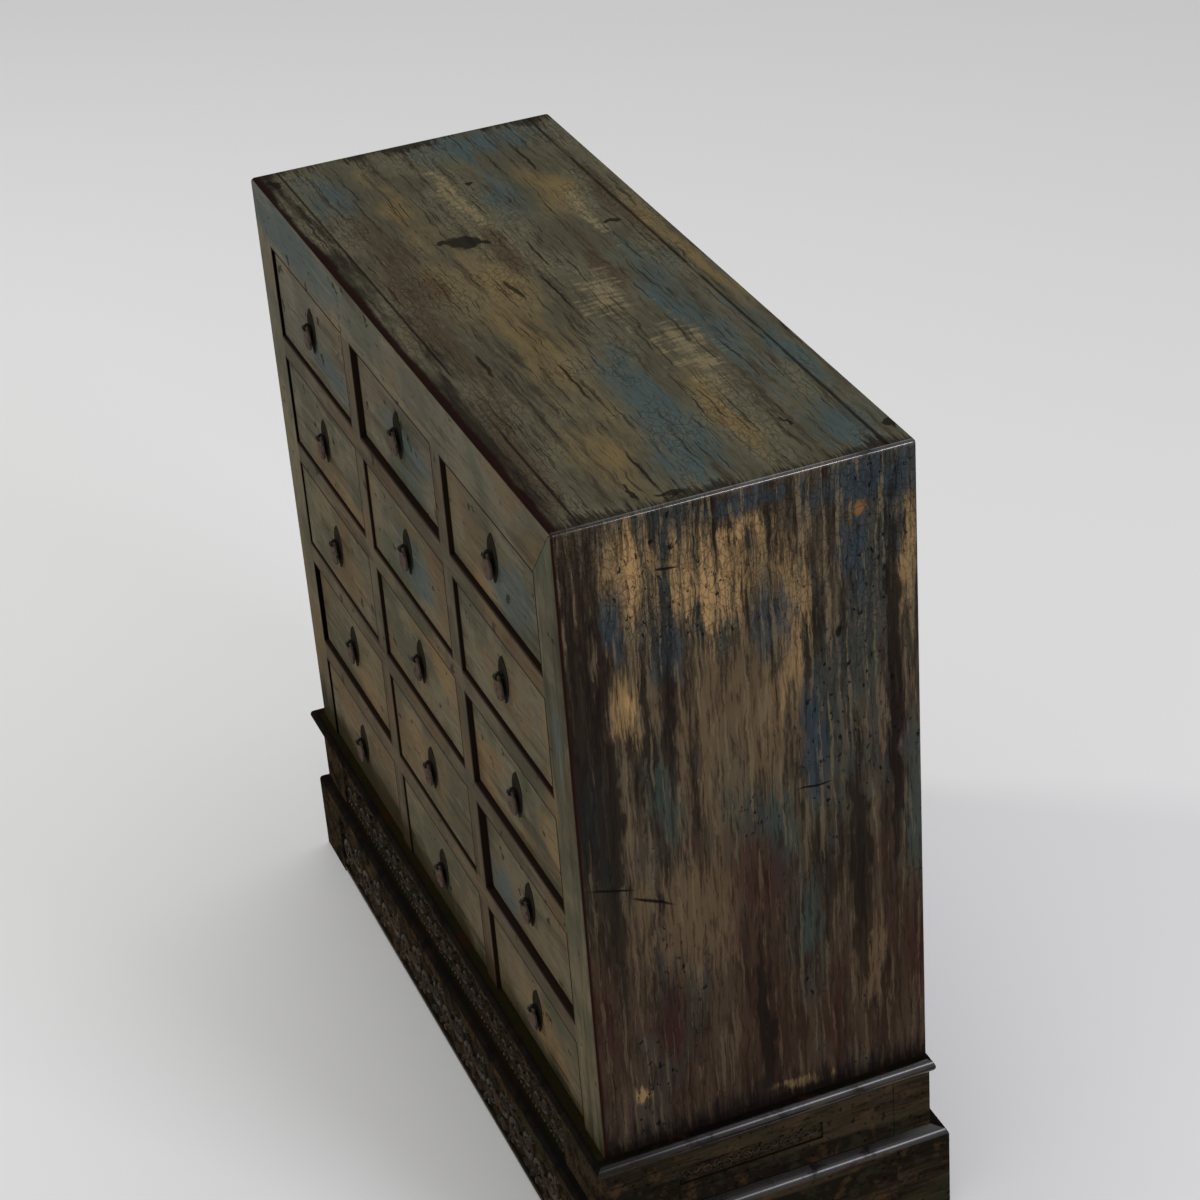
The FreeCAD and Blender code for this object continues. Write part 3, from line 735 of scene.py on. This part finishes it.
def dress_boards():
    """Give the chest's own boards their finishes."""
    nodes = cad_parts
    assign(nodes["front_top_rail"], top_rail_material())
    assign(nodes["front_stiles"], stile_material())
    assign(nodes["front_rails"], rail_material("rail_paint", "X", 11.0))
    assign(nodes["front_uprights"], rail_material("upright_paint", "Z", 13.0))
    assign(nodes["top_panel"], top_material())
    assign(nodes["left_side_panel"], side_material("left_side_paint", -1.0, 5.0))
    assign(nodes["right_side_panel"], side_material("right_side_paint", 1.0, 0.0))
    assign(nodes["back_frame"], back_frame_material())
    assign(nodes["back_panel"], back_board_material())
    assign(nodes["drawer_shelves"], wood_material("shelf_wood", "X", 1.0))
    assign(nodes["drawer_dividers"], wood_material("divider_wood", "Y", 2.0))
    assign(nodes["stand_ledge"], stand_material("ledge_paint", "Y", 1.0))
    assign(nodes["stand_waist"], stand_material("waist_paint", "Y", 2.0))
    assign(nodes["stand_aprons"], stand_material("apron_paint", "Y", 3.0))
    assign(nodes["stand_feet"], stand_material("foot_paint", "Y", 4.0))
    for row in ROWS:
        for column in COLUMNS:
            assign(nodes[f"drawer_r{row}c{column}"], drawer_material(row, column))


def deselect():
    """Drop every selection, so that an operator acts on its own piece."""
    bpy.ops.object.select_all(action="DESELECT")


def activate(obj):
    """Make one piece the only selected and active one."""
    deselect()
    obj.select_set(True)
    bpy.context.view_layer.objects.active = obj


def link(name, data):
    """A new object in the scene."""
    obj = bpy.data.objects.new(name, data)
    bpy.context.scene.collection.objects.link(obj)
    return obj


def duplicate(name, model, move):
    """A copy of a piece with a mesh of its own, its move put into that mesh."""
    obj = link(name, model.data.copy())
    obj.data.transform(move)
    return obj


def copied(name, node):
    """A copy of a node's mesh, its loose triangles merged into whole faces."""
    obj = link(name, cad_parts[node].data.copy())
    activate(obj)
    bpy.ops.object.mode_set(mode="EDIT")
    bpy.ops.mesh.select_all(action="SELECT")
    bpy.ops.mesh.remove_doubles(threshold=1e-6)
    bpy.ops.mesh.dissolve_limited(angle_limit=math.radians(2.0))
    bpy.ops.mesh.normals_make_consistent(inside=False)
    bpy.ops.object.mode_set(mode="OBJECT")
    return obj


def eased(obj, width):
    """Round the edges of a piece and smooth its curved faces."""
    activate(obj)
    bevel = obj.modifiers.new("eased", "BEVEL")
    bevel.width = width
    bevel.segments = 2
    bevel.limit_method = "ANGLE"
    bevel.angle_limit = math.radians(30.0)
    bpy.ops.object.modifier_apply(modifier=bevel.name)
    bpy.ops.object.shade_smooth_by_angle(angle=SMOOTH_ANGLE)
    return obj


def begin(name):
    """Name the primitive just added, select all of it and enter edit mode."""
    obj = bpy.context.object
    obj.name = name
    bpy.ops.object.transform_apply(location=True, rotation=True, scale=True)
    bpy.ops.object.mode_set(mode="EDIT")
    bpy.ops.mesh.select_all(action="SELECT")
    return obj


def pick(obj, chosen):
    """In edit mode, select the vertices that a test on their place chooses."""
    bpy.ops.mesh.select_all(action="DESELECT")
    bpy.ops.object.mode_set(mode="OBJECT")
    for vertex in obj.data.vertices:
        vertex.select = chosen(vertex.co)
    bpy.ops.object.mode_set(mode="EDIT")


def finished(obj):
    """Leave edit mode with all faces pointing outwards and smooth."""
    bpy.ops.mesh.select_all(action="SELECT")
    bpy.ops.mesh.normals_make_consistent(inside=False)
    bpy.ops.object.mode_set(mode="OBJECT")
    bpy.ops.object.shade_smooth_by_angle(angle=SMOOTH_ANGLE)
    return obj


def volute(name, radius, turns, stem, flatness):
    """A scroll: a bar drawn round a shrinking circle, thinning towards the knob at its eye."""
    per_turn = 13
    turn = 2 * math.pi / per_turn
    steps = round(turns * per_turn)
    deselect()
    bpy.ops.mesh.primitive_circle_add(vertices=8, radius=stem, location=(radius, 0.0, 0.0))
    obj = begin(name)
    bpy.ops.mesh.edge_face_add()
    place = Vector((radius, 0.0, 0.0))
    for step in range(1, steps + 1):
        reach = radius * (1.0 - 0.86 * step / steps)
        ahead = Vector((reach * math.cos(step * turn), 0.0, reach * math.sin(step * turn)))
        swell = 1.9 if step == steps - 1 else 0.955
        bpy.ops.mesh.extrude_region_move(TRANSFORM_OT_translate={"value": ahead - place})
        bpy.ops.transform.rotate(value=turn, orient_axis="Y", center_override=ahead)
        bpy.ops.transform.resize(value=(swell, swell, swell), center_override=ahead)
        place = ahead
    bpy.ops.mesh.select_all(action="SELECT")
    bpy.ops.transform.resize(value=(1.0, flatness, 1.0), center_override=(0.0, 0.0, 0.0))
    return finished(obj)


def leaf(name, length, width, height):
    """A pointed leaf with a sunk midrib, its foot at the origin and its tip towards +Z."""
    deselect()
    bpy.ops.mesh.primitive_circle_add(vertices=12, radius=0.5, fill_type="NGON",
                                      location=(0.0, 0.0, 0.5), rotation=(math.pi / 2, 0.0, 0.0))
    obj = begin(name)
    bpy.ops.transform.resize(value=(width, 1.0, length), center_override=(0.0, 0.0, 0.0))
    pick(obj, lambda place: place.z > 0.8 * length)
    bpy.ops.transform.resize(value=(0.25, 1.0, 1.0), center_override=(0.0, 0.0, length))
    bpy.ops.mesh.select_all(action="SELECT")
    bpy.ops.mesh.extrude_region_move(TRANSFORM_OT_translate={"value": (0.0, -height, 0.0)})
    bpy.ops.transform.resize(value=(0.6, 1.0, 0.78), center_override=(0.0, 0.0, 0.45 * length))
    bpy.ops.mesh.inset(thickness=width * 0.16)
    bpy.ops.transform.translate(value=(0.0, height * 0.45, 0.0))
    return finished(obj)


def bead(name, radius):
    """Half of a flattened ball, its back cut off."""
    deselect()
    bpy.ops.mesh.primitive_uv_sphere_add(segments=8, ring_count=6, radius=radius)
    obj = begin(name)
    bpy.ops.mesh.bisect(plane_co=(0.0, radius * 0.2, 0.0), plane_no=(0.0, 1.0, 0.0),
                        clear_outer=True, use_fill=True)
    return finished(obj)


def board_strip(name, start, end, height, depth):
    """A narrow bar with rounded front edges, lying along X with its back at the origin."""
    deselect()
    bpy.ops.mesh.primitive_cube_add(size=1.0, location=((start + end) / 2, -depth / 2, 0.0),
                                    scale=(end - start, depth, height))
    obj = begin(name)
    pick(obj, lambda place: place.y < -depth * 0.9)
    bpy.ops.mesh.select_mode(type="EDGE")
    bpy.ops.mesh.bevel(offset=depth * 0.3, segments=3)
    bpy.ops.mesh.select_mode(type="VERT")
    return finished(obj)


class Carving:
    """A relief put together from copies of a few cut motifs."""

    def __init__(self, name, ground, outward):
        """The ground is a place on the wood; outward turns the motifs' -Y to the face."""
        self.name = name
        self.base = Matrix.Translation(ground) @ Matrix.Rotation(outward, 4, "Z")
        self.copies = []

    def add(self, model, x, z, turn=0.0, size=1.0):
        """Put a copy of a motif at a place on the face."""
        move = Matrix.Translation((x, 0.0, z)) @ Matrix.Rotation(turn, 4, "Y")
        grown = Matrix.Diagonal((size, 1.0, size, 1.0))
        self.copies.append(duplicate("motif", model, self.base @ move @ grown))

    def joined(self, material):
        """One piece of all the copies."""
        activate(self.copies[0])
        for piece in self.copies:
            piece.select_set(True)
        bpy.ops.object.join()
        obj = bpy.context.object
        obj.name = self.name
        assign(obj, material)
        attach(obj, "chest")
        return obj


def scroll_unit(carving, motifs, x, z, size, rng):
    """Two opposed scrolls with leaves springing from them."""
    scroll, blade = motifs
    for side in (-1, 1):
        tilt = rng.uniform(-0.15, 0.15)
        eye_x, eye_z = x + side * 0.0085 * size, z + side * 0.0035 * size
        carving.add(scroll, eye_x, eye_z, tilt + (math.pi if side > 0 else 0.0),
                    size * rng.uniform(0.92, 1.05))
        for turn, reach in ((0.9, 0.011), (2.3, 0.010), (-2.2, 0.012)):
            angle = side * turn + tilt
            carving.add(blade, eye_x + reach * size * math.sin(angle),
                        eye_z + reach * size * math.cos(angle),
                        angle + rng.uniform(-0.5, 0.5), size * rng.uniform(0.6, 0.95))


def carved_waist(motifs, pearl, material):
    """The front board of the waist: close scrollwork between two rows of beads."""
    rng = random.Random(11)
    carving = Carving("carved_waist", Vector((0.0, WAIST_GROUND, 0.0)), 0.0)
    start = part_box("stand_waist")[0].x + BLOCK_WIDTH
    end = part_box("stand_waist")[1].x - RIGHT_BLOCK_WIDTH
    low, high = WAIST_LOW + 0.001, WAIST_HIGH - 0.001
    units = 15
    pitch = (end - start) / units
    for k in range(units):
        x = start + (k + 0.5) * pitch
        last = k == units - 1
        scroll_unit(carving, motifs, x, low + 0.0145, 0.86, rng)
        scroll_unit(carving, motifs, x if last else x + pitch / 2, high - 0.0145, 0.80, rng)
    beads = 84
    for k in range(beads):
        x = start + (k + 0.5) * (end - start) / beads
        for height in (low + 0.0022, high - 0.0022):
            carving.add(pearl, x, height)
    return carving.joined(material)


def carved_apron(motifs, pearl, material):
    """The sunk field of the front apron: large scrolls and leaves along its whole length."""
    blade = motifs[1]
    rng = random.Random(23)
    carving = Carving("carved_apron", Vector((0.0, APRON_GROUND, 0.0)), 0.0)
    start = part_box("stand_feet")[0].x + BLOCK_WIDTH
    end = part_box("stand_feet")[1].x - BLOCK_WIDTH
    units = 11
    pitch = (end - start) / units
    lip = board_strip("lip_model", start - 0.001, end + 0.001, LIP_HEIGHT, LIP_DEPTH)
    carving.add(lip, 0.0, APRON_LOW + LIP_HEIGHT / 2)
    bpy.data.objects.remove(lip)
    for k in range(units):
        x = start + (k + 0.5) * pitch
        scroll_unit(carving, motifs, x, APRON_MIDDLE, 1.53, rng)
        carving.add(pearl, x + pitch / 2 - 0.002, APRON_EDGES[1], size=1.6)
        carving.add(pearl, x - pitch / 2 + 0.002, APRON_EDGES[0], size=1.5)
        for height in APRON_EDGES:
            carving.add(blade, x + rng.uniform(-0.012, 0.012), height,
                        rng.uniform(-1.8, 1.8), 0.9)
    return carving.joined(material)


def carved_cartouche(side, motifs, material):
    """A low relief let into the panel on one side of the waist."""
    rng = random.Random(31 + side)
    ground = Vector((side * CARTOUCHE_GROUND, CARTOUCHE_MIDDLE, 0.0))
    name = "carved_right_panel" if side > 0 else "carved_left_panel"
    carving = Carving(name, ground, side * math.pi / 2)
    for k in range(7):
        x = (k - 3) * 0.0145
        scroll_unit(carving, motifs, x, CARTOUCHE_HEIGHT, 0.40, rng)
    return carving.joined(material)


def carvings():
    """Cut the motifs once, lay them out, and throw the models away."""
    scroll = volute("scroll_model", 0.0078, 1.7, 0.0021, 1.25)
    blade = leaf("leaf_model", 0.010, 0.0048, 0.0023)
    pearl = bead("bead_model", 0.0021)
    low_scroll = volute("low_scroll_model", 0.0078, 1.5, 0.0018, 0.75)
    low_blade = leaf("low_leaf_model", 0.010, 0.0048, 0.0013)
    material = carved_material()
    carved_waist((scroll, blade), pearl, material)
    carved_apron((scroll, blade), pearl, material)
    for side in (-1, 1):
        carved_cartouche(side, (low_scroll, low_blade), material)
    for model in (scroll, blade, pearl, low_scroll, low_blade):
        bpy.data.objects.remove(model)


def pull_pieces(iron, drop_metal):
    """Model one plate with its ring and one drop, then hang a pair on every drawer."""
    plate = eased(copied("plate_model", "pull_plate_r1c1"), 0.00025)
    drop = eased(copied("drop_model", "pull_drop_r1c1"), 0.0003)
    assign(plate, iron)
    assign(drop, drop_metal)
    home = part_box("pull_plate_r1c1")[0].copy()
    for row in ROWS:
        for column in COLUMNS:
            label = f"r{row}c{column}"
            shift = Matrix.Translation(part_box(f"pull_plate_{label}")[0] - home)
            for model, kind, body, slot in ((plate, "plate", "drawer", "pull_iron"),
                                            (drop, "drop", "drop", "drop_metal")):
                piece = duplicate(f"{kind}_{label}", model, shift)
                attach(piece, f"{body}_{label}")
                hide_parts(f"pull_{kind}_{label}")
    for model in (plate, drop):
        bpy.data.objects.remove(model)


def studio():
    """Pale floor, white surroundings, soft lamps and the camera."""
    bpy.ops.mesh.primitive_plane_add(size=16.0, location=(0.0, 0.0, 0.0))
    floor = bpy.context.object
    floor.name = "floor"
    board = Board("floor_white")
    white = board.node("ShaderNodeBsdfDiffuse", {}, {"Color": (0.88, 0.88, 0.88, 1.0)})
    assign(floor, closed(board, white))
    surroundings()
    lamp("side_lamp", (2.10, 0.90, 1.45), (0.3, 0.0, 0.2), (0.75, 0.35), 18.0, (0.90, 0.90, 1.0))
    lamp("front_lamp", (-1.9, -2.3, 1.6), (0.0, -0.1, 0.3), (0.4, 0.4), 22.0, (1.0, 0.99, 0.96))
    lamp("top_lamp", (-0.4, 0.2, 3.2), (0.0, 0.0, 0.5), (2.0, 2.0), 24.0, (1.0, 1.0, 1.0))
    camera()


def surroundings():
    """A white world, seen and reflected at full strength but weaker as light."""
    world = bpy.data.worlds.new("white_room")
    bpy.context.scene.world = world
    sheet = Sheet(world)
    seen, glossy, through = [sheet.node("ShaderNodeLightPath", output=f"Is {kind} Ray")
                             for kind in ("Camera", "Glossy", "Transmission")]
    strength = sheet.node("ShaderNodeMapRange", {}, {
        "Value": seen | glossy | through, "To Min": ROOM_LIGHT, "To Max": 1.0})
    sky = sheet.node("ShaderNodeBackground", {}, {
        "Color": (1.0, 1.0, 1.0, 1.0), "Strength": strength})
    sheet.node("ShaderNodeOutputWorld", {}, {"Surface": sky})


def lamp(name, place, aim, size, watts, colour):
    """A soft lamp of a given width and height, pointed at a place."""
    data = bpy.data.lights.new(name, "AREA")
    data.color = colour
    data.shape = "RECTANGLE"
    data.size, data.size_y = size
    data.energy = watts
    obj = link(name, data)
    obj.location = place
    obj.rotation_euler = (Vector(aim) - Vector(place)).to_track_quat("-Z", "Y").to_euler()


def camera():
    """The viewpoint: high, from the front right corner, turned a little."""
    data = bpy.data.cameras.new("camera")
    data.sensor_fit = "HORIZONTAL"
    data.sensor_width = 36.0
    data.lens = 89.7
    data.shift_x = 0.0031
    data.shift_y = 0.0011
    data.clip_end = 50.0
    obj = link("camera", data)
    obj.location = (1.7014, -0.5988, 1.4416)
    obj.rotation_euler = [math.radians(angle) for angle in (58.98, 3.982, 67.774)]
    bpy.context.scene.camera = obj


bpy.context.scene.view_settings.view_transform = "Standard"
dress_boards()
carvings()
pull_pieces(iron_material(), drop_material())
studio()
